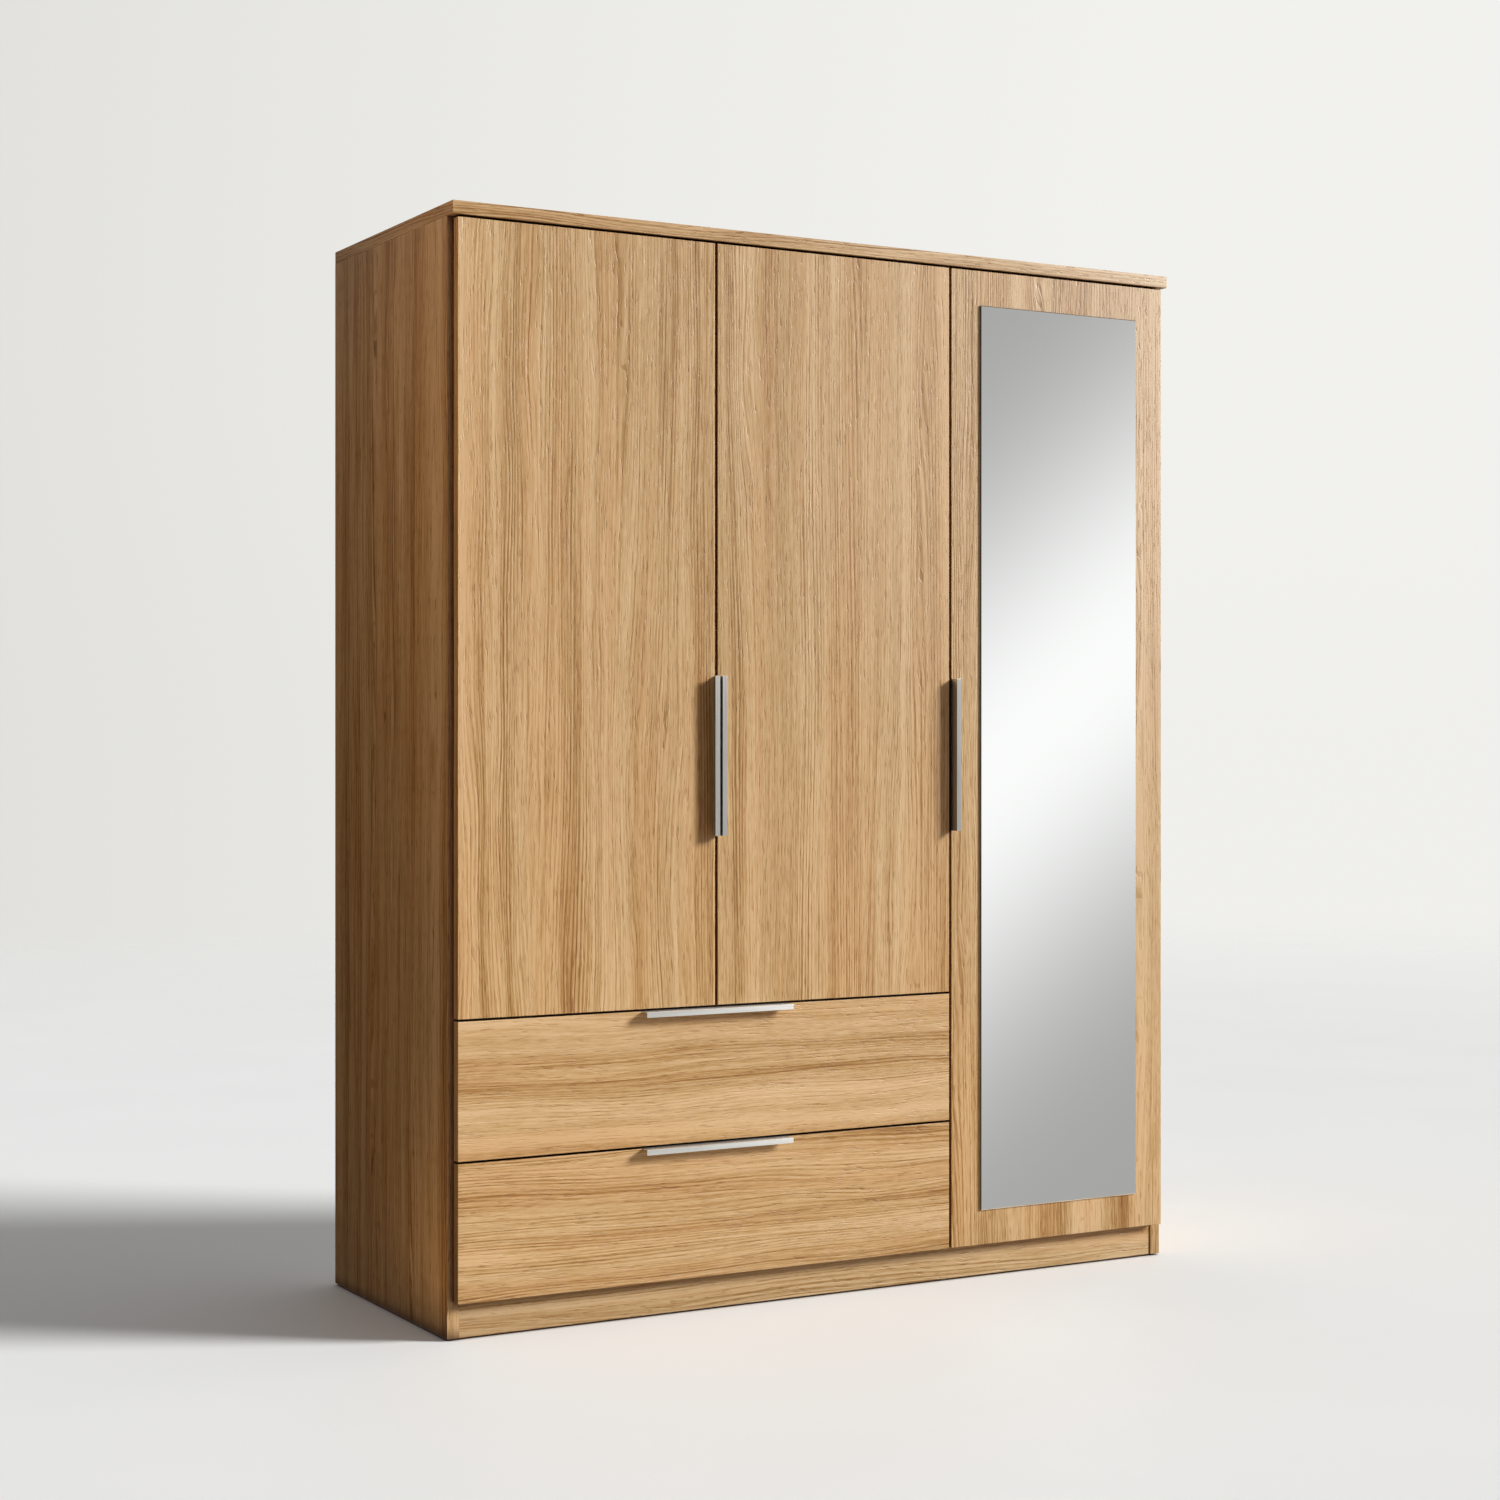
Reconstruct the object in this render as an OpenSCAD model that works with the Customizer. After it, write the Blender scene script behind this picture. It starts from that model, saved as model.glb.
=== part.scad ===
// Wardrobe: a pair of doors over two wide drawers, beside a tall door with a mirror.
// Origin on the floor, at the centre of the footprint. +X right, -Y to the user, +Z up.

/* [Overall size] */
// Width over the side panels
body_w = 1495; // [1400:5:1600]
// Depth of the carcase, without the fronts
body_d = 525; // [505:5:600]
// Height over the top panel
body_h = 1900; // [1880:5:1980]

/* [Boards] */
// Thickness of the sides, the partition and the top
board_t = 22; // [22:1:25]
// Thickness of the bottoms, deck, shelves and plinth
inner_t = 18; // [16:1:19]
// Thickness of the back panels
back_t = 3; // [3:0.5:4]
// Reach of the top panel in front of the side panels
top_overhang = 24; // [20:1:30]

/* [Fronts] */
// Thickness of doors and drawer fronts
front_t = 18; // [18:1:19]
// Gap between the carcase and the back of the fronts
front_gap = 2; // [2:0.5:3]
// Bare strip of side panel beside the outer doors
side_reveal = 11; // [10:0.5:12]
// Gap between neighbouring doors
door_gap = 5; // [5:0.5:6]
// Gap between fronts one above the other
row_gap = 4; // [3:0.5:5]
// Height of the lower edge of the lowest front
front_bottom = 64; // [60:1:70]
// Height of one drawer front
drawer_h = 233; // [225:1:240]

/* [Mirror] */
// Margin of door around the mirror
mirror_margin = 64; // [50:1:80]
// Thickness of the mirror
mirror_t = 4; // [3:0.5:5]

/* [Pulls] */
// Length of a door pull
door_pull_len = 280; // [200:2:320]
// Length of a drawer pull
drawer_pull_len = 292; // [200:2:320]
// Height of the middle of the door pulls
door_pull_z = 975; // [900:5:1050]
// Reach of a pull in front of the door
pull_reach = 19; // [17:0.5:21]
// Width of the lip that the fingers close on
pull_lip = 9.5; // [8:0.5:13]

/* [Interior] */
// Height of the underside of the hat shelf
hat_shelf_z = 1569; // [1500:1:1650]
// Height of the underside of the fixed shelf in the narrow section
fixed_shelf_z = 960; // [940:1:1010]

/* [Hidden] */
$fn = 48;

// Planes along Y, from the user to the wall
total_d = body_d + front_gap + front_t + pull_reach;
rear_y = total_d / 2;
edge_y = rear_y - body_d;
fronts_y = edge_y - front_gap;
face_y = fronts_y - front_t;
back_inset = 12;
back_y = rear_y - back_inset;

// Planes along X
left_x = -body_w / 2;
right_x = body_w / 2;
in_left = left_x + board_t;
in_right = right_x - board_t;
door_w = (body_w - 2 * side_reveal - 2 * door_gap) / 3;
door_x = [for (i = [0:2]) left_x + side_reveal + i * (door_w + door_gap)];
part_x = door_x[2] - door_gap / 2;
part_l = part_x - board_t / 2;
part_r = part_x + board_t / 2;
pair_mid_x = door_x[1] - door_gap / 2;

// Levels along Z
glide_t = 3;
glide_r = 8;
glide_pin_r = 1.2;
glide_pin_len = 10;
top_z = body_h - board_t;
bottom_z = front_bottom - 2;
doors_top = top_z - row_gap;
drawer_z = [front_bottom, front_bottom + drawer_h + row_gap];
doors_z = drawer_z[1] + drawer_h + row_gap;
deck_z = doors_z - row_gap / 2 - inner_t / 2;

// Plinth, shelves and their fittings
plinth_recess = 2;
groove = 6;
shelf_setback = 15;
loose_play = 1;
loose_setback = 25;
loose_z = [(bottom_z + inner_t + fixed_shelf_z) / 2 - inner_t / 2,
           fixed_shelf_z + (top_z - fixed_shelf_z) / 3,
           fixed_shelf_z + (top_z - fixed_shelf_z) * 2 / 3];
pin_r = 2.5;
pin_in = 9;
pin_collar_t = 1;
pin_collar_r = 3.7;
pin_hole_play = 0.05;
pin_y = [edge_y + 75, back_y - 75];
// Spare rows of holes, above and below each shelf
pin_rows = [-32, 0, 32];

// Cam fittings and dowels at the ends of the fixed boards
cam_r = 7.5;
cam_h = 12.5;
cam_set = 34;
bolt_r = 3;
bolt_in = 10;
dowel_r = 4;
dowel_in = 10;
dowel_len = 30;
fit = 0.15;
cam_y = [edge_y + 45, back_y - 45];
dowel_y = [edge_y + 105, back_y - 105];
// Each fixed board: its two ends along X and its underside
fixed_boards = [[in_left, part_l, bottom_z], [part_r, in_right, bottom_z],
                [in_left, part_l, deck_z], [part_r, in_right, fixed_shelf_z],
                [in_left, part_l, hat_shelf_z]];
// Each joint: plane of the upright's face, way into the board, underside of the board
joints = [for (b = fixed_boards) each [[b[0], 1, b[2]], [b[1], -1, b[2]]]];
// Uprights under the top: middle of the board, way that its cam faces
uprights = [[left_x + board_t / 2, 1], [part_x, -1], [right_x - board_t / 2, -1]];

// Play of a screw in the hole of the piece that it holds
screw_play = 0.1;
// Back panels: screws into the partition, the bottoms and the deck
back_screw_len = 20;
back_screw_side = 6;
back_screw_end = 60;
back_rows = 8;
upright_spots = [for (s = [-1, 1], i = [0:back_rows])
    [part_x + s * back_screw_side,
     bottom_z + back_screw_end + i * (top_z - bottom_z - 2 * back_screw_end) / back_rows]];
level_spots = [for (k = [0:2], i = [0:4]) let (b = fixed_boards[k])
    [b[0] + back_screw_end + i * (b[1] - b[0] - 2 * back_screw_end) / 4, b[2] + inner_t / 2]];

// Concealed hinges. u runs into the door from its hinge edge, v back from its face.
cup_u = 22.5;
cup_r = 17.4;
cup_depth = 11.5;
cup_wall = 0.8;
cup_rim = 1.6;
ear_pitch = 48;
ear_u = 28;
ear_r = 6;
flange_t = 1.2;
pivot = [5, 5];
arm_pin = [24, 26];
cup_pin = [26, 13.5];
// The links form a parallelogram with the line from the pivot to the arm pin
knee_pin = [arm_pin[0] + cup_pin[0] - pivot[0], arm_pin[1] + cup_pin[1] - pivot[1]];
hinge_pin_r = 1.5;
pin_play = 0.06;
open_play = 0.4;
link_w = 5.6;
link_t = 5;
strut_in = 3;
strut_t = 1.8;
// Arm: two cheeks and a roof, from the neck at the pin to the tail
cheek_in = 5.8;
cheek_t = 1.4;
neck = [18, 36];
neck_w = 7;
arm_u = 14;
arm_roof = 20.5;
arm_front = 34;
arm_tail = 88;
// Mounting plate: two wings on the wall and a rail under the arm
wing_t = 2;
wing_d = 18;
wing_h = 46;
wing_v = front_t + front_gap + 28;
plate_screw_z = 16;
plate_rail_d = 56;
plate_rail_w = 11;
plate_rail_u = 19;
plate_rail_v = front_t + front_gap + 14;
hinge_end = 100;
pair_hinges = [for (i = [0:2])
    doors_z + hinge_end + i * (doors_top - doors_z - 2 * hinge_end) / 2];
tall_hinges = [for (i = [0:3])
    front_bottom + hinge_end + i * (doors_top - front_bottom - 2 * hinge_end) / 3];
// Each door's hinge edge, the way into the door, and its carcase face in u
hinge_sets = [[door_x[0], 1, board_t - side_reveal, pair_hinges],
              [door_x[1] + door_w, -1, (board_t - door_gap) / 2, pair_hinges],
              [door_x[2] + door_w, -1, board_t - side_reveal, tall_hinges]];

// Pulls: an L section let into the edge of its front
pull_t = 2;
pull_let_in = 14;
pull_screw_len = 18;
pull_screws = [-0.4, 0, 0.4];

// Drawer boxes and runners
box_t = 12;
box_h = 160;
box_len = 450;
box_lift = 30;
box_bottom_t = 5;
box_bottom_up = 8;
box_groove = 4;
slab_play = 0.2;
box_screw_len = 40;
box_screw_up = [20, 80, 140];
front_screw_len = 25;
front_screw_up = [45, 120];
front_screw_pitch = 250;
runner_w = 12.7;
runner_up = 40;
runner_t = 1.5;
runner_set = 2;
runner_screws = [40, 220, 400];
runner_screw_len = 12;
box_x = [in_left + runner_w, part_l - runner_w];
// Reach and half height of the outer, middle and inner members
outer = [10, 22.5];
mid = [6.6, 19];
inner = [4.7, 13.5];
mid_t = 1.4;
mid_u = 2.6;
mid_web_u = 5;
mid_short = 20;
inner_short = 4;

// Hanging rail and wall brackets
rail_drop = 60;
rail_w = 15;
rail_h = 30;
rail_wall = 1;
rail_y = (edge_y + back_y) / 2;
rail_z = hat_shelf_z - rail_drop;
rail_play = 0.5;
socket_t = 2;
socket_wall = 1.6;
socket_play = 0.2;
socket_depth = 14;
socket_lip = 4;
socket_flange = [22.2, 70];
socket_screw_z = 26;
socket_screw_len = 14;
bracket_x = [in_left + 180, part_r + 234];
bracket_leg = 30;
bracket_w = 20;
bracket_t = 2;
bracket_screw_y = 20;
bracket_screw_len = 16;
wall_hole_r = 2.75;

oak = "#c8a06e";
grey = "#b9bcc0";
steel = "#a9adb2";
white = "#eceae4";

// A board between two opposite corners
module board(low, high) {
    translate(low) cube(high - low);
}

// Countersunk screw, head up at z = 0, shank down
module screw(len, r = 1.8, head_r = 3.4, head_h = 1.4, grow = 0) {
    translate([0, 0, -len]) cylinder(h = len, r = r + grow);
    translate([0, 0, -head_h]) cylinder(h = head_h, r1 = r + grow, r2 = head_r + grow);
}

// ---- Joints of the carcase ----

module cams(grow = 0) {
    for (j = joints, y = cam_y)
        translate([j[0] + j[1] * cam_set, y, j[2]]) cylinder(h = cam_h + grow, r = cam_r + grow);
    for (u = uprights, y = cam_y)
        translate([u[0] + u[1] * (board_t / 2 - cam_h - grow), y, top_z - cam_set])
            rotate([0, 90 * u[1], 0]) cylinder(h = cam_h + grow, r = cam_r + grow);
}

module cam_bolts(grow = 0) {
    for (j = joints, y = cam_y)
        translate([j[0] - j[1] * bolt_in, y, j[2] + inner_t / 2]) rotate([0, 90 * j[1], 0])
            cylinder(h = bolt_in + cam_set, r = bolt_r + grow);
    for (u = uprights, y = cam_y)
        translate([u[0], y, top_z - cam_set]) cylinder(h = cam_set + bolt_in, r = bolt_r + grow);
}

module dowel_pegs(grow = 0) {
    for (j = joints, y = dowel_y)
        translate([j[0] - j[1] * dowel_in, y, j[2] + inner_t / 2]) rotate([0, 90 * j[1], 0])
            cylinder(h = dowel_len + grow, r = dowel_r + grow);
    for (u = uprights, y = dowel_y)
        translate([u[0], y, top_z - dowel_len + dowel_in - grow])
            cylinder(h = dowel_len + grow, r = dowel_r + grow);
}

// Everything that is bored out of the boards for their joints
module joint_bores() {
    cams(fit);
    cam_bolts(fit);
    dowel_pegs(fit);
}

module cam_fittings() {
    color(grey) union() {
        cams();
        cam_bolts();
    }
}

module dowels() {
    color("#d9b98a") dowel_pegs();
}

// ---- Carcase boards ----

module back_groove() {
    board([in_left - groove, back_y, bottom_z], [in_right + groove, back_y + back_t, top_z + groove]);
}

module pin_holes(x, way) {
    for (z = loose_z, row = pin_rows, y = pin_y)
        translate([x, y, z - pin_r + row]) rotate([0, 90 * way, 0])
            cylinder(h = pin_in + 1, r = pin_r + pin_hole_play);
}

module side_left() {
    color(oak) difference() {
        board([left_x, edge_y, glide_t], [in_left, rear_y, top_z]);
        back_groove();
        joint_bores();
    }
}

module side_right() {
    color(oak) difference() {
        board([in_right, edge_y, glide_t], [right_x, rear_y, top_z]);
        back_groove();
        joint_bores();
        pin_holes(in_right, 1);
    }
}

module partition() {
    plinth_room = plinth_recess + inner_t;
    color(oak) difference() {
        board([part_l, edge_y, glide_t], [part_r, back_y, top_z]);
        board([part_l - 1, edge_y - 1, 0], [part_r + 1, edge_y + plinth_room, bottom_z]);
        joint_bores();
        pin_holes(part_r, -1);
    }
}

module top_panel() {
    color(oak) difference() {
        board([left_x, edge_y - top_overhang, top_z], [right_x, rear_y, body_h]);
        back_groove();
        joint_bores();
    }
}

module fixed_board(b, setback = 0) {
    difference() {
        board([b[0], edge_y + setback, b[2]], [b[1], back_y, b[2] + inner_t]);
        joint_bores();
    }
}

module bottom_left() {
    color(oak) fixed_board(fixed_boards[0]);
}

module bottom_right() {
    color(oak) fixed_board(fixed_boards[1]);
}

module deck() {
    color(oak) fixed_board(fixed_boards[2]);
}

module fixed_shelf() {
    color(oak) fixed_board(fixed_boards[3], shelf_setback);
}

module hat_shelf() {
    color(oak) fixed_board(fixed_boards[4], shelf_setback);
}

module loose_shelves() {
    color(oak) for (z = loose_z)
        board([part_r + loose_play, edge_y + loose_setback, z],
              [in_right - loose_play, back_y - loose_play, z + inner_t]);
}

module plinth_front() {
    y = edge_y + plinth_recess;
    color(oak) board([in_left, y, glide_t], [in_right, y + inner_t, bottom_z]);
}

module rear_rails() {
    y = back_y - inner_t;
    color(oak) union() {
        board([in_left, y, glide_t], [part_l, back_y, bottom_z]);
        board([part_r, y, glide_t], [in_right, back_y, bottom_z]);
    }
}

module bracket_holes(r) {
    for (x = bracket_x)
        translate([x, back_y - 2 * bracket_t, top_z - bracket_leg / 2]) rotate([-90, 0, 0])
            cylinder(h = back_t + 4 * bracket_t, r = r);
}

module back_screws(grow = 0) {
    for (p = concat(upright_spots, level_spots))
        translate([p[0], back_y + back_t, p[1]]) rotate([-90, 0, 0])
            screw(back_screw_len, r = 1.5, head_r = 3, head_h = 1.2, grow = grow);
}

module back_panel(x0, x1) {
    difference() {
        board([x0, back_y, bottom_z], [x1, back_y + back_t, top_z + groove]);
        bracket_holes(wall_hole_r + 1);
        back_screws(screw_play);
    }
}

module back_left() {
    color(white) back_panel(in_left - groove, part_x);
}

module back_right() {
    color(white) back_panel(part_x, in_right + groove);
}

// ---- Small fittings of the carcase ----

module glides() {
    ends = [left_x + board_t / 2, right_x - board_t / 2];
    spots = [for (x = ends, y = [edge_y + 30, rear_y - 40]) [x, y],
             [part_x, edge_y + 60], [part_x, back_y - 40],
             [part_x, edge_y + plinth_recess + inner_t / 2],
             [pair_mid_x, edge_y + plinth_recess + inner_t / 2]];
    color("#3b3733") for (s = spots) translate([s[0], s[1], 0]) {
        cylinder(h = glide_t, r = glide_r);
        cylinder(h = glide_t + glide_pin_len, r = glide_pin_r);
    }
}

module shelf_pins() {
    color(steel) for (z = loose_z, y = pin_y, s = [[part_r, 1], [in_right, -1]])
        translate([s[0] - s[1] * pin_in, y, z - pin_r]) rotate([0, 90 * s[1], 0]) {
            cylinder(h = 2 * pin_in, r = pin_r);
            translate([0, 0, pin_in]) cylinder(h = pin_collar_t, r = pin_collar_r);
        }
}

// Flat oval section of the hanging rail, its long way along Z
module oval(w, h) {
    for (s = [-1, 1]) translate([0, s * (h - w) / 2]) circle(d = w);
    square([w, h - w], center = true);
}

module hanging_rail() {
    gap = socket_t + rail_play;
    color(grey) translate([in_left + gap, rail_y, rail_z]) rotate([90, 0, 90])
        linear_extrude(part_l - in_left - 2 * gap) difference() {
            oval(rail_w, rail_h);
            oval(rail_w - 2 * rail_wall, rail_h - 2 * rail_wall);
        }
}

module socket_screws(grow = 0) {
    for (s = [[in_left, 1], [part_l, -1]], z = [-socket_screw_z, socket_screw_z])
        translate([s[0] + s[1] * socket_t, rail_y, rail_z + z]) rotate([0, 90 * s[1], 0])
            screw(socket_screw_len, grow = grow);
}

// Open-topped cup that the rail drops into, with an ear above and below
module rail_socket() {
    hole = [rail_w + 2 * socket_play, rail_h + 2 * socket_play];
    linear_extrude(socket_t) oval(socket_flange[0], socket_flange[1]);
    linear_extrude(socket_depth) difference() {
        oval(hole[0] + 2 * socket_wall, hole[1] + 2 * socket_wall);
        oval(hole[0], hole[1]);
        translate([-rail_w, rail_h / 2 - socket_lip]) square([2 * rail_w, rail_h]);
    }
}

module rail_sockets() {
    color(grey) difference() {
        for (s = [[in_left, 0], [part_l, 1]])
            translate([s[0], rail_y, rail_z]) mirror([s[1], 0, 0]) rotate([90, 0, 90]) rail_socket();
        socket_screws(screw_play);
    }
}

module bracket_screws(grow = 0) {
    for (x = bracket_x)
        translate([x, back_y - bracket_screw_y, top_z - bracket_t]) rotate([180, 0, 0])
            screw(bracket_screw_len, grow = grow);
}

module wall_brackets() {
    color(steel) difference() {
        for (x = bracket_x) translate([x - bracket_w / 2, back_y, top_z]) {
            translate([0, -bracket_leg, -bracket_t]) cube([bracket_w, bracket_leg, bracket_t]);
            translate([0, -bracket_t, -bracket_leg]) cube([bracket_w, bracket_t, bracket_leg]);
        }
        bracket_holes(wall_hole_r);
        bracket_screws(screw_play);
    }
}

// ---- Hinges ----

// Places its children at each hinge of one door, in that hinge's u and v
module at_hinges(set) {
    for (z = set[3]) translate([set[0], face_y, z]) mirror([set[1] < 0 ? 1 : 0, 0, 0]) children();
}

// A bar with round ends from one point to another, in the plane of u and v
module bar(a, b, w) {
    d = b - a;
    translate(a) rotate(atan2(d[1], d[0])) translate([0, -w / 2]) square([norm(d), w]);
    translate(a) circle(d = w);
    translate(b) circle(d = w);
}

module plate_screws(wall_u, grow = 0) {
    for (z = [-plate_screw_z, plate_screw_z])
        translate([wall_u + wing_t, wing_v + wing_d / 2, z]) rotate([0, 90, 0])
            screw(14, grow = grow);
}

module hinge_plate(wall_u) {
    rail = [plate_rail_u - wall_u, plate_rail_d, plate_rail_w];
    difference() {
        union() {
            translate([wall_u, wing_v, -wing_h / 2]) cube([wing_t, wing_d, wing_h]);
            translate([wall_u, plate_rail_v, -plate_rail_w / 2]) cube(rail);
        }
        plate_screws(wall_u, screw_play);
    }
}

module hinge_plates() {
    color(steel) for (set = hinge_sets) at_hinges(set) hinge_plate(set[2]);
}

// Channel over the plate's rail, its cheeks running out to the arm pin
module hinge_arm() {
    half = cheek_in + cheek_t;
    roof_v = neck[1] + cheek_t;
    for (s = [0, 1]) mirror([0, 0, s]) translate([0, 0, cheek_in]) linear_extrude(cheek_t) {
        bar(arm_pin, neck, neck_w);
        translate([arm_u, arm_front]) square([arm_roof - arm_u, arm_tail - arm_front]);
    }
    translate([arm_roof - cheek_t, roof_v, -half]) cube([cheek_t, arm_tail - roof_v, 2 * half]);
    translate([arm_pin[0], arm_pin[1], 0]) cylinder(h = 2 * half, r = hinge_pin_r, center = true);
}

module hinge_arms() {
    color(steel) for (set = hinge_sets) at_hinges(set) hinge_arm();
}

module cup_screws(grow = 0) {
    for (s = [-1, 1])
        translate([ear_u, front_t + flange_t, s * ear_pitch / 2]) rotate([-90, 0, 0])
            screw(12, head_h = flange_t, grow = grow);
}

module cup_bores(set) {
    at_hinges(set) translate([cup_u, front_t + 1, 0]) rotate([90, 0, 0])
        cylinder(h = cup_depth + 1 + fit, r = cup_r + fit);
}

module hinge_cup() {
    inner_r = cup_r - cup_wall;
    difference() {
        union() {
            translate([cup_u, front_t, 0]) rotate([90, 0, 0]) cylinder(h = cup_depth, r = cup_r);
            translate([cup_u, front_t + flange_t, 0]) rotate([90, 0, 0])
                cylinder(h = flange_t, r = cup_r + cup_rim);
            translate([ear_u - ear_r, front_t, -ear_pitch / 2]) cube([2 * ear_r, flange_t, ear_pitch]);
            for (s = [-1, 1]) translate([ear_u, front_t + flange_t, s * ear_pitch / 2])
                rotate([90, 0, 0]) cylinder(h = flange_t, r = ear_r);
        }
        translate([cup_u, front_t + flange_t + 1, 0]) rotate([90, 0, 0])
            cylinder(h = cup_depth + flange_t + 1 - cup_wall, r = inner_r);
        cup_screws(screw_play);
    }
    translate([cup_pin[0], cup_pin[1], 0]) cylinder(h = 2 * inner_r - 0.4, r = hinge_pin_r, center = true);
}

// Link from the arm to the knee; it turns with the door
module hinge_link() {
    linear_extrude(link_t, center = true) difference() {
        bar(arm_pin, knee_pin, link_w);
        for (p = [arm_pin, knee_pin]) translate(p) circle(r = hinge_pin_r + pin_play);
    }
}

// Twin strut from the knee to the cup, with the knee's pin
module hinge_strut() {
    pin_len = 2 * (strut_in + strut_t);
    for (s = [0, 1]) mirror([0, 0, s]) translate([0, 0, strut_in]) linear_extrude(strut_t) difference() {
        bar(knee_pin, cup_pin, link_w);
        translate(cup_pin) circle(r = hinge_pin_r + open_play);
    }
    translate([knee_pin[0], knee_pin[1], 0]) cylinder(h = pin_len, r = hinge_pin_r, center = true);
}

module cups(set) {
    color(steel) at_hinges(set) hinge_cup();
}

module links(set) {
    color(steel) at_hinges(set) hinge_link();
}

module struts(set) {
    color(steel) at_hinges(set) hinge_strut();
}

module cups_left() { cups(hinge_sets[0]); }
module cups_middle() { cups(hinge_sets[1]); }
module cups_right() { cups(hinge_sets[2]); }
module links_left() { links(hinge_sets[0]); }
module links_middle() { links(hinge_sets[1]); }
module links_right() { links(hinge_sets[2]); }
module struts_left() { struts(hinge_sets[0]); }
module struts_middle() { struts(hinge_sets[1]); }
module struts_right() { struts(hinge_sets[2]); }

// ---- Pulls ----

// Section of a pull: p runs into the front from its edge, q back from its face
module pull_section() {
    polygon([[0, pull_let_in], [0, -pull_reach], [pull_lip, -pull_reach],
             [pull_lip, pull_t - pull_reach], [pull_t, pull_t - pull_reach], [pull_t, pull_let_in]]);
}

module pull_fixings(len, grow = 0) {
    for (s = pull_screws)
        translate([0, pull_let_in / 2, s * len]) rotate([0, -90, 0])
            screw(pull_screw_len, r = 1.6, head_r = 3, head_h = 1.6, grow = grow);
}

module pull(len) {
    difference() {
        linear_extrude(len, center = true) pull_section();
        pull_fixings(len, screw_play);
    }
}

// Room for the leg of a pull, cut from the edge of its front
module pull_room(len) {
    translate([-1, -1, -len / 2]) cube([pull_t + 1, pull_let_in + 1, len]);
}

// Places its children at the pull edge of a door; way runs into the door
module at_door_pull(x, way) {
    translate([x, face_y, door_pull_z]) mirror([way < 0 ? 1 : 0, 0, 0]) children();
}

module at_left_pull() { at_door_pull(door_x[0] + door_w, -1) children(); }
module at_middle_pull() { at_door_pull(door_x[1], 1) children(); }
module at_right_pull() { at_door_pull(door_x[2], 1) children(); }

// Places its children at the top edge of a drawer front
module at_drawer_pull(z0) {
    translate([pair_mid_x, face_y, z0 + drawer_h]) rotate([0, 90, 0]) children();
}

module pull_left() { color(grey) at_left_pull() pull(door_pull_len); }
module pull_middle() { color(grey) at_middle_pull() pull(door_pull_len); }
module pull_right() { color(grey) at_right_pull() pull(door_pull_len); }
module upper_pull() { color(grey) at_drawer_pull(drawer_z[1]) pull(drawer_pull_len); }
module lower_pull() { color(grey) at_drawer_pull(drawer_z[0]) pull(drawer_pull_len); }

// ---- Doors ----

module door_panel(x, z0) {
    board([x, face_y, z0], [x + door_w, fronts_y, doors_top]);
}

module door_left() {
    color(oak) difference() {
        door_panel(door_x[0], doors_z);
        cup_bores(hinge_sets[0]);
        at_left_pull() pull_room(door_pull_len);
    }
}

module door_middle() {
    color(oak) difference() {
        door_panel(door_x[1], doors_z);
        cup_bores(hinge_sets[1]);
        at_middle_pull() pull_room(door_pull_len);
    }
}

module door_right() {
    color(oak) difference() {
        door_panel(door_x[2], front_bottom);
        cup_bores(hinge_sets[2]);
        at_right_pull() pull_room(door_pull_len);
    }
}

module mirror_glass() {
    low = [door_x[2] + mirror_margin, face_y - mirror_t, front_bottom + mirror_margin];
    high = [door_x[2] + door_w - mirror_margin, face_y, doors_top - mirror_margin];
    color("#dfe5e8") board(low, high);
}

module screws_left() {
    color(steel) union() {
        at_hinges(hinge_sets[0]) cup_screws();
        at_left_pull() pull_fixings(door_pull_len);
    }
}

module screws_middle() {
    color(steel) union() {
        at_hinges(hinge_sets[1]) cup_screws();
        at_middle_pull() pull_fixings(door_pull_len);
    }
}

module screws_right() {
    color(steel) union() {
        at_hinges(hinge_sets[2]) cup_screws();
        at_right_pull() pull_fixings(door_pull_len);
    }
}

// ---- Drawers ----

module drawer_front(z0) {
    difference() {
        board([door_x[0], face_y, z0], [door_x[1] + door_w, fronts_y, z0 + drawer_h]);
        at_drawer_pull(z0) pull_room(drawer_pull_len);
    }
}

// Slab that reaches into the grooves on all four sides of the box
module bottom_slab(z0, reach) {
    z = z0 + box_lift + box_bottom_up;
    inset = box_t - reach;
    board([box_x[0] + inset, fronts_y + inset, z],
          [box_x[1] - inset, fronts_y + box_len - inset, z + box_bottom_t]);
}

module drawer_bottom(z0) {
    bottom_slab(z0, box_groove - slab_play);
}

module drawer_sides(z0) {
    z = z0 + box_lift;
    difference() {
        for (x = [box_x[0], box_x[1] - box_t])
            board([x, fronts_y, z], [x + box_t, fronts_y + box_len, z + box_h]);
        bottom_slab(z0, box_groove);
    }
}

// Inner front and back of the box, between its sides
module drawer_ends(z0) {
    z = z0 + box_lift;
    difference() {
        for (y = [fronts_y, fronts_y + box_len - box_t])
            board([box_x[0] + box_t, y, z], [box_x[1] - box_t, y + box_t, z + box_h]);
        bottom_slab(z0, box_groove);
    }
}

module runner_fixings(x, way, y0, z, len, grow = 0) {
    for (y = runner_screws)
        translate([x, y0 + y, z]) rotate([0, 90 * way, 0]) screw(len, grow = grow);
}

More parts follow.
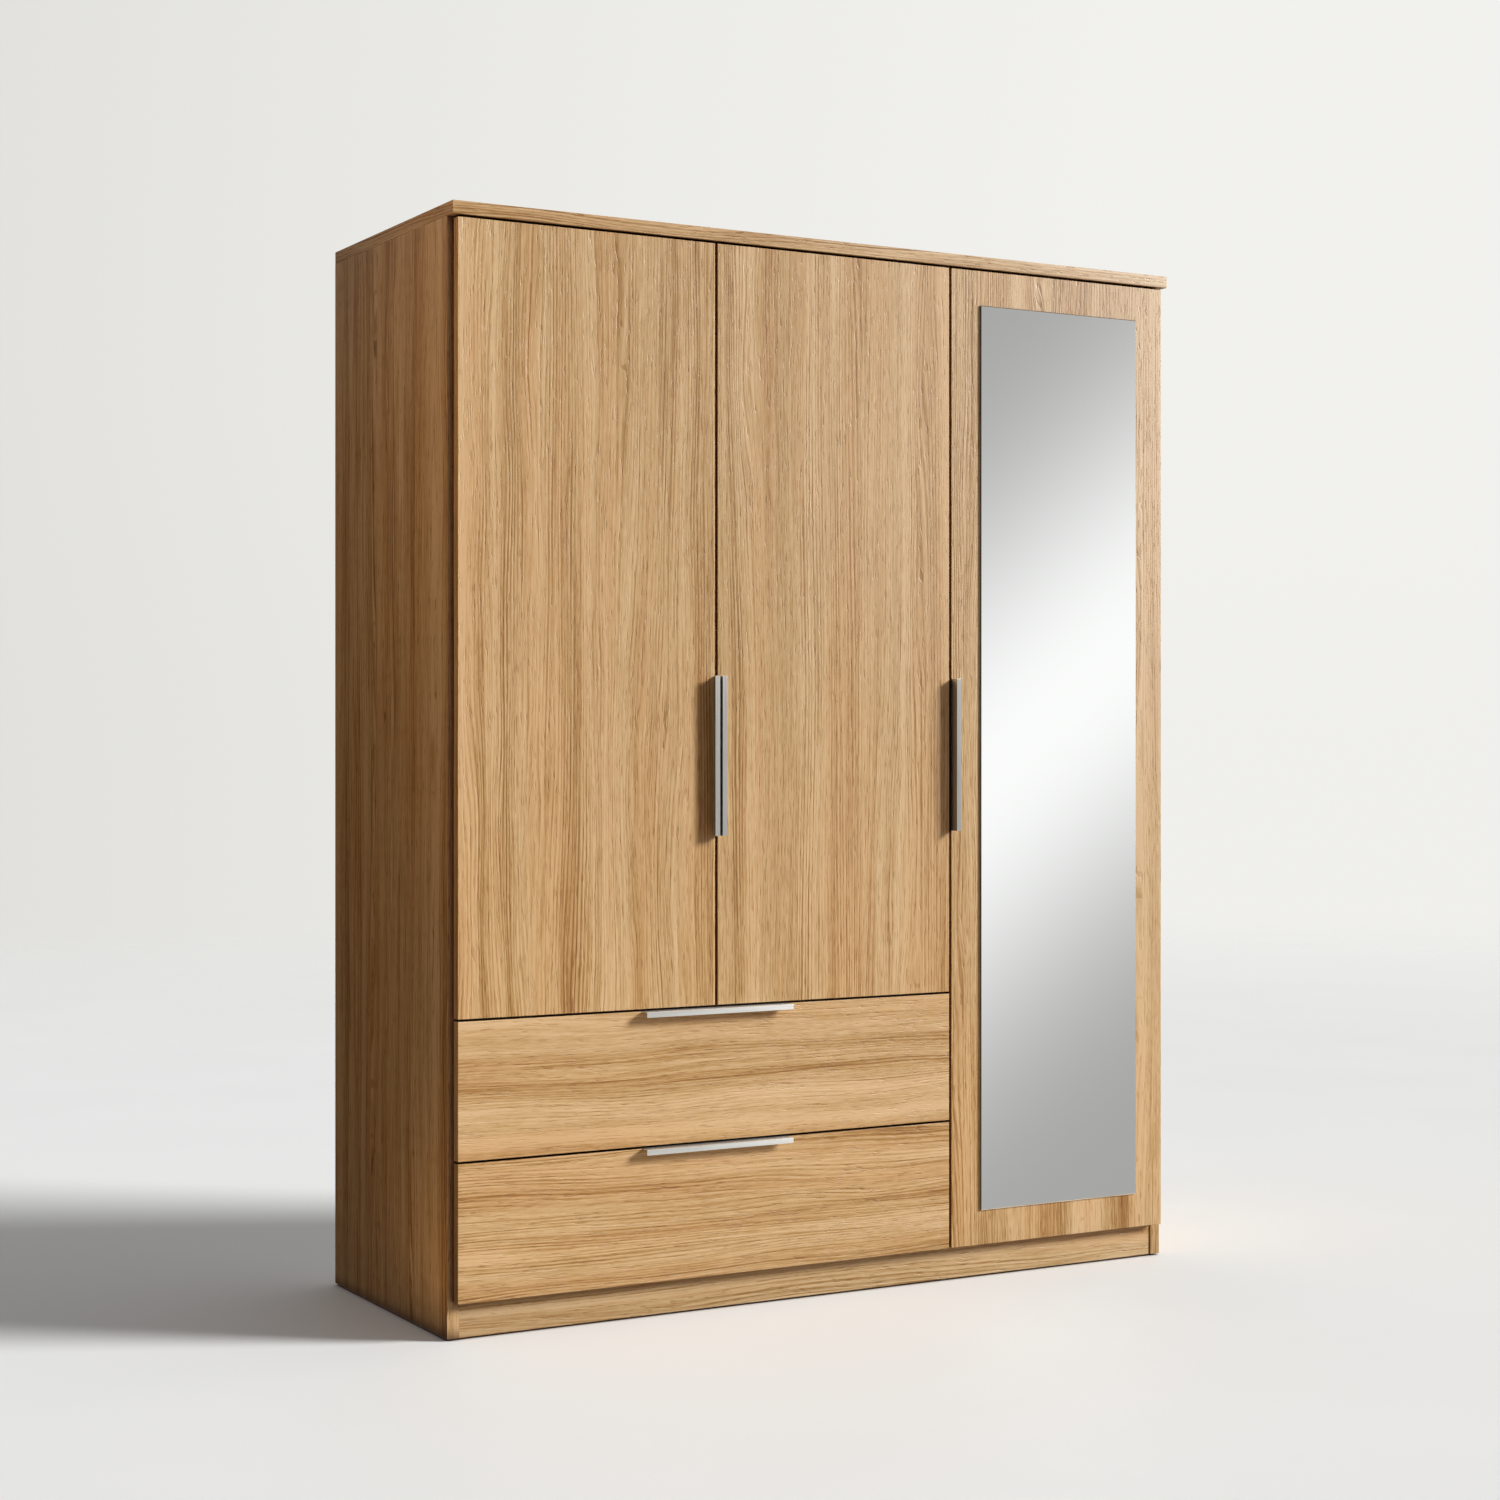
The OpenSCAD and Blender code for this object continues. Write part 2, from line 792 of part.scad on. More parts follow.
// Screws through the sides into the ends, through the inner front into the front,
// through the runners into the sides, and those of the pull
module drawer_screws(z0) {
    z = z0 + box_lift;
    for (s = [[box_x[0], -1], [box_x[1], 1]]) {
        for (y = [box_t / 2, box_len - box_t / 2], up = box_screw_up)
            translate([s[0], fronts_y + y, z + up]) rotate([0, 90 * s[1], 0])
                screw(box_screw_len, r = 2, head_r = 3.6);
        runner_fixings(s[0] + s[1] * runner_t, s[1], fronts_y, z + runner_up, runner_screw_len - 1);
    }
    for (i = [-1.5:1.5], up = front_screw_up)
        translate([pair_mid_x + i * front_screw_pitch, fronts_y + box_t, z + up]) rotate([-90, 0, 0])
            screw(front_screw_len);
    at_drawer_pull(z0) pull_fixings(drawer_pull_len);
}

// A channel: web at x = 0, flanges of the given reach, half height h, from y0 for len
module channel(reach, h, y0, len) {
    translate([0, y0, -h]) {
        cube([runner_t, len, 2 * h]);
        cube([reach, len, runner_t]);
        translate([0, 0, 2 * h - runner_t]) cube([reach, len, runner_t]);
    }
}

// Places its children at the left and the mirrored right runner of a drawer
module at_runners(z0) {
    z = z0 + box_lift + runner_up;
    translate([in_left, 0, z]) children();
    translate([part_l, 0, z]) mirror([1, 0, 0]) children();
}

module outer_fixings(grow = 0) {
    translate([runner_t, 0, 0]) runner_fixings(0, 1, edge_y + runner_set, 0, runner_screw_len, grow);
}

module runner_outers() {
    color(grey) for (z0 = drawer_z) at_runners(z0) difference() {
        channel(outer[0], outer[1], edge_y + runner_set, box_len);
        outer_fixings(screw_play);
    }
}

module runner_mids(z0) {
    y = edge_y + 2 * runner_set;
    len = box_len - mid_short;
    color(grey) at_runners(z0) {
        translate([mid_web_u, y, -mid[1]]) cube([mid_t, len, 2 * mid[1]]);
        for (z = [-mid[1], mid[1] - mid_t]) translate([mid_u, y, z]) cube([mid[0], len, mid_t]);
    }
}

module runner_inners(z0) {
    color(grey) at_runners(z0) translate([runner_w, 0, 0]) mirror([1, 0, 0]) difference() {
        channel(inner[0], inner[1], fronts_y, box_len - inner_short);
        translate([runner_t, 0, 0])
            runner_fixings(0, 1, fronts_y, 0, runner_screw_len - 1, screw_play);
    }
}

module upper_front() { color(oak) drawer_front(drawer_z[1]); }
module upper_sides() { color(white) drawer_sides(drawer_z[1]); }
module upper_ends() { color(white) drawer_ends(drawer_z[1]); }
module upper_bottom() { color(white) drawer_bottom(drawer_z[1]); }
module upper_inners() { runner_inners(drawer_z[1]); }
module upper_mids() { runner_mids(drawer_z[1]); }
module upper_screws() { color(steel) drawer_screws(drawer_z[1]); }
module lower_front() { color(oak) drawer_front(drawer_z[0]); }
module lower_sides() { color(white) drawer_sides(drawer_z[0]); }
module lower_ends() { color(white) drawer_ends(drawer_z[0]); }
module lower_bottom() { color(white) drawer_bottom(drawer_z[0]); }
module lower_inners() { runner_inners(drawer_z[0]); }
module lower_mids() { runner_mids(drawer_z[0]); }
module lower_screws() { color(steel) drawer_screws(drawer_z[0]); }

// Screws that hold fittings to the carcase
module carcase_screws() {
    color(steel) union() {
        socket_screws();
        bracket_screws();
        back_screws();
        for (set = hinge_sets) at_hinges(set) plate_screws(set[2]);
        for (z0 = drawer_z) at_runners(z0) outer_fixings();
    }
}

side_left();
side_right();
partition();
top_panel();
bottom_left();
bottom_right();
deck();
plinth_front();
rear_rails();
back_left();
back_right();
glides();
hat_shelf();
hanging_rail();
rail_sockets();
fixed_shelf();
loose_shelves();
shelf_pins();
cam_fittings();
dowels();
carcase_screws();
wall_brackets();
hinge_plates();
hinge_arms();
runner_outers();
door_left();
pull_left();
cups_left();
links_left();
struts_left();
screws_left();
door_middle();
pull_middle();
cups_middle();
links_middle();
struts_middle();
screws_middle();
door_right();
pull_right();
cups_right();
links_right();
struts_right();
screws_right();
mirror_glass();  // mirror
upper_front();
upper_sides();
upper_ends();
upper_bottom();
upper_pull();
upper_inners();
upper_mids();
upper_screws();
lower_front();
lower_sides();
lower_ends();
lower_bottom();
lower_pull();
lower_inners();
lower_mids();
lower_screws();
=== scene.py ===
"""Looks of the oak wardrobe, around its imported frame. Metres, +X right, -Y to the user, +Z up."""
import math

import bpy
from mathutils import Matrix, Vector

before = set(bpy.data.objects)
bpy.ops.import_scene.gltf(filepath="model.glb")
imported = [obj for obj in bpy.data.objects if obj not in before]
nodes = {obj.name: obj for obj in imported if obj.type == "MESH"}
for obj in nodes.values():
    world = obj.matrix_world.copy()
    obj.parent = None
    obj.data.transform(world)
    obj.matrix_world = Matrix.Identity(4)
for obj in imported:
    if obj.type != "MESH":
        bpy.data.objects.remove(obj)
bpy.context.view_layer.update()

AXES = {"X": 0, "Y": 1, "Z": 2}


# ---- Node graphs ----

# Painted shade: a face that sees this share of the sky keeps its colour, and one that sees so much
# less is painted dark, as if shaded in a crease.
OPEN_FACE = 0.62
PAINTED_SHADE_FALL = 0.40
PAINTED_SHADE_SAMPLES = 6


class Graph:
    """Short ways to add and join nodes in one node tree."""

    def __init__(self, tree):
        self.tree = tree
        tree.nodes.clear()

    def node(self, kind, **settings):
        made = self.tree.nodes.new(kind)
        for name, value in settings.items():
            setattr(made, name, value)
        return made

    def put(self, socket, value):
        """Links a socket to the given one, or sets it to the given value."""
        if isinstance(value, bpy.types.NodeSocket):
            self.tree.links.new(value, socket)
        else:
            socket.default_value = value

    def fill(self, sockets, values):
        for socket, value in zip(sockets, values):
            self.put(socket, value)

    def math(self, operation, *values):
        made = self.node("ShaderNodeMath", operation=operation)
        self.fill(made.inputs, values)
        return made.outputs[0]

    def scaled(self, value, factor, offset=0.0):
        return self.math("MULTIPLY_ADD", value, factor, offset)

    def add(self, *values):
        total = values[0]
        for value in values[1:]:
            total = self.math("ADD", total, value)
        return total

    def times(self, a, b):
        return self.math("MULTIPLY", a, b)

    def vector(self, x, y, z):
        made = self.node("ShaderNodeCombineXYZ")
        self.fill(made.inputs, (x, y, z))
        return made.outputs[0]

    def split(self, vector):
        """The three parts of a vector."""
        made = self.node("ShaderNodeSeparateXYZ")
        self.put(made.inputs[0], vector)
        return made.outputs

    def measured(self, operation, *vectors):
        """A number worked out from vectors, such as their distance."""
        made = self.node("ShaderNodeVectorMath", operation=operation)
        self.fill(made.inputs, vectors)
        return made.outputs["Value"]

    def noise(self, vector, waves, detail=2.0, roughness=0.5):
        """Noise from 0 to 1. waves is how many to a metre: one number, or one for each axis."""
        stretched = self.node("ShaderNodeVectorMath", operation="MULTIPLY")
        self.put(stretched.inputs[0], vector)
        stretched.inputs[1].default_value = waves if isinstance(waves, (list, tuple)) else [waves] * 3
        made = self.node("ShaderNodeTexNoise")
        self.put(made.inputs["Vector"], stretched.outputs[0])
        made.inputs["Scale"].default_value = 1.0
        made.inputs["Detail"].default_value = detail
        made.inputs["Roughness"].default_value = roughness
        return made.outputs["Fac"]

    def smooth(self, value, start, end, low=0.0, high=1.0):
        """A smooth step from low to high as value goes from start to end."""
        made = self.node("ShaderNodeMapRange", interpolation_type="SMOOTHSTEP")
        self.fill(made.inputs, (value, start, end, low, high))
        return made.outputs[0]

    def blend(self, share, a, b):
        """Number a blended with number b."""
        made = self.node("ShaderNodeMix", data_type="FLOAT")
        self.fill(made.inputs[:1] + made.inputs[2:4], (share, a, b))
        return made.outputs[0]

    def mixed(self, share, a, b, kind="MIX"):
        """Colour a blended with colour b, which is a socket or three numbers."""
        made = self.node("ShaderNodeMix", data_type="RGBA", blend_type=kind)
        for socket, value in zip((made.inputs[0], made.inputs[6], made.inputs[7]), (share, a, b)):
            self.put(socket, (*value, 1.0) if isinstance(value, tuple) else value)
        return made.outputs[2]

    def tinted(self, colour, share, tint):
        return self.mixed(share, colour, tint, "MULTIPLY")

    def ramp(self, value, stops):
        """The colour at value, from (place, colour) stops."""
        made = self.node("ShaderNodeValToRGB")
        self.put(made.inputs[0], value)
        band = made.color_ramp
        while len(band.elements) < len(stops):
            band.elements.new(0.5)
        for element, (place, colour) in zip(band.elements, stops):
            element.position = place
            element.color = (*colour, 1.0)
        return made.outputs[0]

    def bump(self, height, distance):
        made = self.node("ShaderNodeBump")
        made.inputs["Distance"].default_value = distance
        self.put(made.inputs["Height"], height)
        return made.outputs[0]

    def painted_shade(self, reach, openness=OPEN_FACE):
        """A mask of painted shade: 0 on faces open by more than openness, rising to 1 where other
        faces lie within reach.
        """
        made = self.node("ShaderNodeAmbientOcclusion", samples=PAINTED_SHADE_SAMPLES)
        made.inputs["Distance"].default_value = reach
        return self.smooth(made.outputs["AO"], openness, openness - PAINTED_SHADE_FALL)

    def surface(self, **sockets):
        """The material's one shader. Keywords are its sockets, with _ for a space."""
        shader = self.node("ShaderNodeBsdfPrincipled")
        for name, value in sockets.items():
            self.put(shader.inputs[name.replace("_", " ")], value)
        out = self.node("ShaderNodeOutputMaterial")
        self.put(out.inputs[0], shader.outputs[0])


def material(name):
    made = bpy.data.materials.new(name)
    made.use_nodes = True
    return made, Graph(made.node_tree)


def object_place(graph):
    return graph.node("ShaderNodeTexCoord").outputs["Object"]


def toned(colour, factor):
    """The colour made so many times as bright."""
    return [channel * factor for channel in colour]


# ---- Oak ----

OAK_TONES = [
    (0.00, (0.235, 0.108, 0.025)),
    (0.30, (0.350, 0.190, 0.060)),
    (0.58, (0.478, 0.304, 0.136)),
    (0.95, (0.620, 0.430, 0.237)),
]
OAK_RED = (0.95, 0.88, 0.80)
# Painted shade: the colour oak is darkened towards where other faces lie close, in gaps, corners and
# recesses
OAK_PAINTED_SHADE = (0.16, 0.09, 0.07)

# How far slow bends and small wobbles move the grain lines, and how many rings there are to a metre
BEND_REACH = 0.05
WOBBLE_REACH = 0.0018
RINGS = 165.0

# How light the oak is before its figure is added, and how deep its pores and rings are
BASE_TONE = -0.08
OAK_RELIEF = 0.00025

# A face looks along an axis if this much of its direction does.
LOOKS_ALONG = 0.7


def board_directions(graph, grain, thickness):
    """(along, across) the grain, in metres, on the faces and on the banded edges of a board."""
    coordinates = graph.node("ShaderNodeTexCoord")
    place = graph.split(coordinates.outputs["Object"])
    facing = graph.split(coordinates.outputs["Normal"])
    width = ({0, 1, 2} - {AXES[grain], AXES[thickness]}).pop()
    lengthways, sideways, through = (place[i] for i in (AXES[grain], width, AXES[thickness]))
    on_end, on_edge = (
        graph.math("GREATER_THAN", graph.math("ABSOLUTE", facing[i]), LOOKS_ALONG)
        for i in (AXES[grain], width)
    )
    along = graph.blend(on_end, lengthways, sideways)
    across = graph.blend(graph.math("MAXIMUM", on_end, on_edge), sideways, through)
    return along, across


def oak(name, grain, thickness, seed, flow=0.8, curl=0.036, tone=0.0, depth=1.0,
        reach=0.012, openness=OPEN_FACE):
    """Satin oak laminate. Grain lines are level lines of a slope across the board, bent by noise.

    seed is the board's place in the pattern, flow how often its lines bend along the grain, and curl
    how far flames push them. tone makes it lighter, depth makes its dark lines stronger, and reach
    and openness say where shade is painted into the colour, in narrow gaps and corners.
    """
    made, graph = material(name)
    along, across = board_directions(graph, grain, thickness)
    at = graph.vector(across, along, seed)

    # Each noise has so many waves to a metre across the grain and along it, and its third number
    # sets how much two seeds differ. smooth keeps what lies above its first number, in full from
    # its second.
    bend = graph.noise(at, (8.0, flow, 1.0), detail=1.0)
    wobble = graph.noise(at, (60.0, 9.0, 1.0))
    flame = graph.smooth(graph.noise(at, (8.0, 0.45, 3.0), detail=0.0), 0.43, 0.60)
    swirl = graph.times(flame, graph.noise(at, (24.0, 2.6, 5.0), detail=1.0))
    slope = graph.add(
        across,
        graph.scaled(bend, BEND_REACH),
        graph.scaled(wobble, WOBBLE_REACH),
        graph.scaled(swirl, curl),
    )
    bent = graph.vector(slope, along, seed)

    patch = graph.smooth(graph.noise(bent, (19.0, 0.4, 1.0), detail=1.0), 0.36, 0.60)
    zigzag = graph.math("PINGPONG", graph.scaled(slope, RINGS), 0.5)
    picked = graph.smooth(graph.noise(bent, (95.0, 2.0, 1.0), detail=1.0), 0.34, 0.54)
    strength = graph.times(picked, graph.scaled(patch, 0.8, 0.2))
    rings = graph.times(graph.smooth(zigzag, 0.18, 0.42), strength)
    streaks = graph.smooth(graph.noise(bent, (330.0, 2.4, 1.0), detail=1.0), 0.46, 0.62)
    threads = graph.smooth(graph.noise(bent, (520.0, 7.0, 1.0), detail=1.0), 0.44, 0.60)
    zone = graph.noise(bent, (22.0, 0.25, 1.0))
    fibre = graph.noise(at, (420.0, 38.0, 1.0), roughness=0.6)
    pores = graph.smooth(graph.noise(bent, (420.0, 32.0, 1.0), detail=1.0), 0.60, 0.70)

    # What each adds to the lightness, or takes away
    lightness = graph.add(
        BASE_TONE + tone,
        graph.scaled(zone, 1.30),
        graph.scaled(patch, -0.08),
        graph.scaled(fibre, 0.66),
        graph.scaled(rings, -0.34 * depth),
        graph.scaled(graph.times(streaks, graph.scaled(patch, 0.6, 0.4)), -0.25 * depth),
        graph.scaled(threads, -0.18 * depth),
        graph.scaled(pores, -0.22 * depth),
    )
    redness = graph.smooth(graph.noise(at, (16.0, 0.6, 4.0)), 0.42, 0.62)
    colour = graph.tinted(graph.ramp(lightness, OAK_TONES), redness, OAK_RED)
    height = graph.add(graph.scaled(fibre, 0.5), graph.scaled(pores, -1.0), graph.scaled(rings, -0.4))
    graph.surface(
        # The colour darkened by painted shade where other faces lie close
        Base_Color=graph.tinted(colour, graph.painted_shade(reach, openness), OAK_PAINTED_SHADE),
        Roughness=graph.scaled(fibre, 0.12, 0.30),
        Normal=graph.bump(height, distance=OAK_RELIEF),
        Specular_IOR_Level=0.30,
    )
    return made


# ---- Other materials ----

def painted_board(name, colour, speck):
    """Matt board with a faint pressed texture."""
    made, graph = material(name)
    at = object_place(graph)
    grain = graph.noise(at, 900.0)
    cloud = graph.noise(at, 7.0, detail=3.0)
    mottle = graph.scaled(cloud, 0.6, graph.scaled(grain, 0.4))
    graph.surface(
        Base_Color=graph.ramp(mottle, [(0.3, toned(colour, 1.0 - speck)), (0.7, colour)]),
        Roughness=graph.scaled(grain, 0.15, 0.48),
        Normal=graph.bump(grain, distance=0.00008),
    )
    return made


def brushed(name, colour, along, roughness=0.3):
    """Metal brushed along one axis, its highlights stretched across the brushing."""
    made, graph = material(name)
    waves = [950.0, 950.0, 950.0]
    waves[AXES[along]] = 6.0
    line = graph.noise(object_place(graph), waves, detail=3.0, roughness=0.6)
    cloud = graph.noise(object_place(graph), 22.0)
    tangent = graph.node("ShaderNodeTangent", direction_type="RADIAL", axis=along)
    mottle = graph.add(graph.scaled(line, 0.8), graph.scaled(cloud, 0.2))
    graph.surface(
        Base_Color=graph.ramp(mottle, [(0.3, toned(colour, 0.82)), (0.7, colour)]),
        Metallic=1.0,
        Roughness=graph.scaled(line, 0.16, roughness - 0.08),
        Anisotropic=0.6,
        Tangent=tangent.outputs[0],
        Normal=graph.bump(line, distance=0.00002),
    )
    return made


def plated(name, colour, roughness, spots=260.0, depth=0.00003):
    """Plated steel, a little uneven in its shine."""
    made, graph = material(name)
    at = object_place(graph)
    patch = graph.noise(at, spots, detail=3.0, roughness=0.6)
    cloud = graph.noise(at, 30.0)
    mottle = graph.add(graph.scaled(patch, 0.6), graph.scaled(cloud, 0.4))
    graph.surface(
        Base_Color=graph.ramp(mottle, [(0.35, toned(colour, 0.8)), (0.65, colour)]),
        Metallic=1.0,
        Roughness=graph.scaled(patch, 0.18, roughness - 0.09),
        Normal=graph.bump(patch, distance=depth),
    )
    return made


def plain_wood(name):
    """Unfinished wood, its fibres along X."""
    made, graph = material(name)
    fibre = graph.noise(object_place(graph), (60.0, 900.0, 900.0), detail=3.0)
    graph.surface(
        Base_Color=graph.ramp(fibre, [(0.3, (0.55, 0.36, 0.19)), (0.7, (0.70, 0.50, 0.30))]),
        Roughness=graph.scaled(fibre, 0.2, 0.55),
        Normal=graph.bump(fibre, distance=0.0001),
    )
    return made


def moulded_plastic(name, colour):
    made, graph = material(name)
    grain = graph.noise(object_place(graph), 1400.0)
    graph.surface(
        Base_Color=graph.ramp(grain, [(0.35, colour), (0.65, toned(colour, 1.35))]),
        Roughness=graph.scaled(grain, 0.2, 0.42),
        Normal=graph.bump(grain, distance=0.00005),
    )
    return made


# From the ground edge to the silver
MIRROR_TONES = [
    (0.0, (0.10, 0.13, 0.12)),
    (0.25, (0.17, 0.21, 0.19)),
    (0.8, (0.93, 0.94, 0.94)),
]


def silvered_glass(name):
    """Mirror on its front face, and ground greenish glass round its edge."""
    made, graph = material(name)
    coordinates = graph.node("ShaderNodeTexCoord")
    frontward = graph.split(coordinates.outputs["Normal"])[1]
    front = graph.smooth(graph.math("ABSOLUTE", frontward), 0.55, 0.66)
    ground = graph.noise(coordinates.outputs["Object"], 1200.0)
    silver = graph.add(graph.scaled(front, 0.8), graph.scaled(ground, 0.2))
    graph.surface(
        Base_Color=graph.ramp(silver, MIRROR_TONES),
        Metallic=front,
        Roughness=graph.scaled(front, -0.24, graph.scaled(ground, 0.02, 0.24)),
    )
    return made


# ---- Edges ----

# Split vertices nearer than this are one. The angles are in degrees: a bevel rounds edges sharper
# than one, and shading smooths those flatter than the other.
SAME_PLACE = 1e-5
BEVELLED_ANGLE = 40
SHADED_SHARP_ANGLE = 14.5

# Bevel widths
OAK_EDGE = 0.0007
WHITE_EDGE = 0.0006
PULL_EDGE = 0.0005
THIN_EDGE = 0.0003
MIRROR_EDGE = 0.0016


def modifier_tree(name):
    """A new modifier tree: the tree, its graph, the mesh that comes in and the socket it leaves by."""
    tree = bpy.data.node_groups.new(name, "GeometryNodeTree")
    for way in ("INPUT", "OUTPUT"):
        tree.interface.new_socket("Geometry", in_out=way, socket_type="NodeSocketGeometry")
    graph = Graph(tree)
    mesh = graph.node("NodeGroupInput").outputs[0]
    return tree, graph, mesh, graph.node("NodeGroupOutput").inputs[0]


def steeper(graph, degrees):
    """1 on the edges that turn by more than so many degrees."""
    angle = graph.node("GeometryNodeInputMeshEdgeAngle").outputs["Unsigned Angle"]
    return graph.math("GREATER_THAN", angle, math.radians(degrees))


def weighed_edges(name, shortest):
    """Joins split vertices, and weighs long sharp edges for a bevel, so holes stay as they are."""
    tree, graph, mesh, result = modifier_tree(name)
    merged = graph.node("GeometryNodeMergeByDistance")
    graph.put(merged.inputs["Geometry"], mesh)
    merged.inputs["Distance"].default_value = SAME_PLACE
    ends = graph.node("GeometryNodeInputMeshEdgeVertices").outputs
    length = graph.measured("DISTANCE", ends["Position 1"], ends["Position 2"])
    is_long = graph.math("GREATER_THAN", length, shortest)
    weighed = graph.node("GeometryNodeStoreNamedAttribute", data_type="FLOAT", domain="EDGE")
    graph.put(weighed.inputs["Geometry"], merged.outputs[0])
    weighed.inputs["Name"].default_value = "bevel_weight_edge"
    graph.put(weighed.inputs["Value"], graph.times(is_long, steeper(graph, BEVELLED_ANGLE)))
    graph.put(result, weighed.outputs[0])
    return tree


def clean_normals():
    """Flat faces stay flat, and only what curves gently is shaded as round."""
    tree, graph, mesh, result = modifier_tree("clean_normals")
    shaded = graph.node("GeometryNodeSetMeshNormal")
    shaded.inputs["Remove Custom"].default_value = True
    graph.put(shaded.inputs["Mesh"], mesh)
    graph.put(shaded.inputs["Edge Sharpness"], steeper(graph, SHADED_SHARP_ANGLE))
    graph.put(result, shaded.outputs[0])
    return tree


BOARD_EDGES = weighed_edges("board_edges", shortest=0.008)
SMALL_EDGES = weighed_edges("small_edges", shortest=0.0015)
CLEAN_NORMALS = clean_normals()


def finish(node, made, bevel=0.0, segments=2, edges=BOARD_EDGES):
    """Gives a CAD node its material, and rounds its long edges by bevel."""
    piece = nodes[node]
    piece.data.materials.clear()
    piece.data.materials.append(made)
    if bevel:
        piece.modifiers.new("edges", "NODES").node_group = edges
        rounded = piece.modifiers.new("bevel", "BEVEL")
        rounded.width = bevel
        rounded.segments = segments
        rounded.limit_method = "WEIGHT"
        piece.modifiers.new("normals", "NODES").node_group = CLEAN_NORMALS


def finish_metal(node, made):
    """A small metal piece, with fine edges."""
    finish(node, made, THIN_EDGE, edges=SMALL_EDGES)


# ---- Pieces ----

# The axis of a board's grain, and the one that its thickness lies along
UPRIGHT = dict(grain="Z", thickness="X")
LEVEL = dict(grain="X", thickness="Z")
ACROSS = dict(grain="X", thickness="Y")
DOOR = dict(grain="Z", thickness="Y")

OAK_BOARDS = {
    # The left side's painted shade reaches further, darkening its front edge beside the door as the
    # door's shadow would
    "side_left": dict(UPRIGHT, seed=3.1, tone=0.10, depth=1.7, reach=0.03, openness=0.93),
    "side_right": dict(UPRIGHT, seed=7.9),
    "partition": dict(UPRIGHT, seed=12.3),
    "top_panel": dict(LEVEL, seed=17.2),
    "bottom_left": dict(LEVEL, seed=21.4),
    "bottom_right": dict(LEVEL, seed=26.6),
    "deck": dict(LEVEL, seed=31.8),
    "plinth_front": dict(ACROSS, seed=36.5, tone=0.07),
    "rear_rails": dict(ACROSS, seed=41.7),
    "hat_shelf": dict(LEVEL, seed=46.9),
    "fixed_shelf": dict(LEVEL, seed=51.3),
    "loose_shelves": dict(LEVEL, seed=56.2),
    "door_left": dict(DOOR, seed=61.5, curl=0.028, tone=-0.03),
    "door_middle": dict(DOOR, seed=66.7),
    "door_right": dict(DOOR, seed=95.3, tone=-0.04),
    "upper_front": dict(ACROSS, seed=78.6, flow=1.6, curl=0.014, tone=-0.03, depth=0.85),
    "lower_front": dict(ACROSS, seed=83.4, flow=1.6, curl=0.02, tone=-0.03),
}

for node, look in OAK_BOARDS.items():
    finish(node, oak(f"oak_{node}", **look), OAK_EDGE)

white_board = painted_board("white_board", (0.80, 0.79, 0.76), speck=0.06)
back_board = painted_board("back_board", (0.78, 0.76, 0.72), speck=0.10)
upright_aluminium = brushed("aluminium_upright", (0.61, 0.59, 0.55), "Z")
level_aluminium = brushed("aluminium_level", (0.72, 0.705, 0.67), "X", roughness=0.34)
zinc = plated("zinc", (0.62, 0.64, 0.66), roughness=0.34)
nickel = plated("nickel", (0.68, 0.67, 0.65), roughness=0.24)
screw_steel = plated("screw_steel", (0.58, 0.59, 0.60), roughness=0.36)
chrome = plated("chrome", (0.82, 0.83, 0.84), roughness=0.12, spots=90.0, depth=0.00001)
beech = plain_wood("beech")
dark_plastic = moulded_plastic("dark_plastic", (0.020, 0.018, 0.016))
mirror_silver = silvered_glass("mirror_silver")

for node in ("back_left", "back_right"):
    finish(node, back_board, THIN_EDGE, segments=1)
for drawer in ("upper", "lower"):
    finish(f"{drawer}_sides", white_board, WHITE_EDGE)
    finish(f"{drawer}_ends", white_board, WHITE_EDGE)
    finish(f"{drawer}_bottom", back_board, THIN_EDGE, segments=1)
    finish(f"{drawer}_pull", level_aluminium, PULL_EDGE, segments=3, edges=SMALL_EDGES)
    finish_metal(f"{drawer}_inners", zinc)
    finish_metal(f"{drawer}_mids", zinc)
    finish(f"{drawer}_screws", screw_steel)
for door in ("left", "middle", "right"):
    finish(f"pull_{door}", upright_aluminium, PULL_EDGE, segments=3, edges=SMALL_EDGES)
    for piece in ("cups", "links", "struts"):
        finish_metal(f"{piece}_{door}", nickel)
    finish(f"screws_{door}", screw_steel)
for node in ("hinge_plates", "hinge_arms"):
    finish_metal(node, nickel)
for node in ("runner_outers", "rail_sockets", "wall_brackets", "shelf_pins", "cam_fittings"):
    finish_metal(node, zinc)
finish("hanging_rail", chrome)
finish("dowels", beech)
finish("glides", dark_plastic)
finish("carcase_screws", screw_steel)
finish("mirror", mirror_silver, MIRROR_EDGE, segments=1)

# The mirror throws no patches of sunlight on the floor or the boards.
nodes["mirror"].visible_diffuse = False


# ---- Floor ----

FLOOR_RADIUS = 14.0
FLOOR_SIDES = 96
# The floor is whole up to the first distance from the middle, and gone at the second.
FLOOR_WHOLE = 3.0
FLOOR_GONE = 11.0
# Painted shade: the colour the floor is darkened towards where the wardrobe stands close
FLOOR_PAINTED_SHADE = (0.20, 0.13, 0.09)


def add_object(name, data):
    made = bpy.data.objects.new(name, data)
    bpy.context.scene.collection.objects.link(made)
    return made


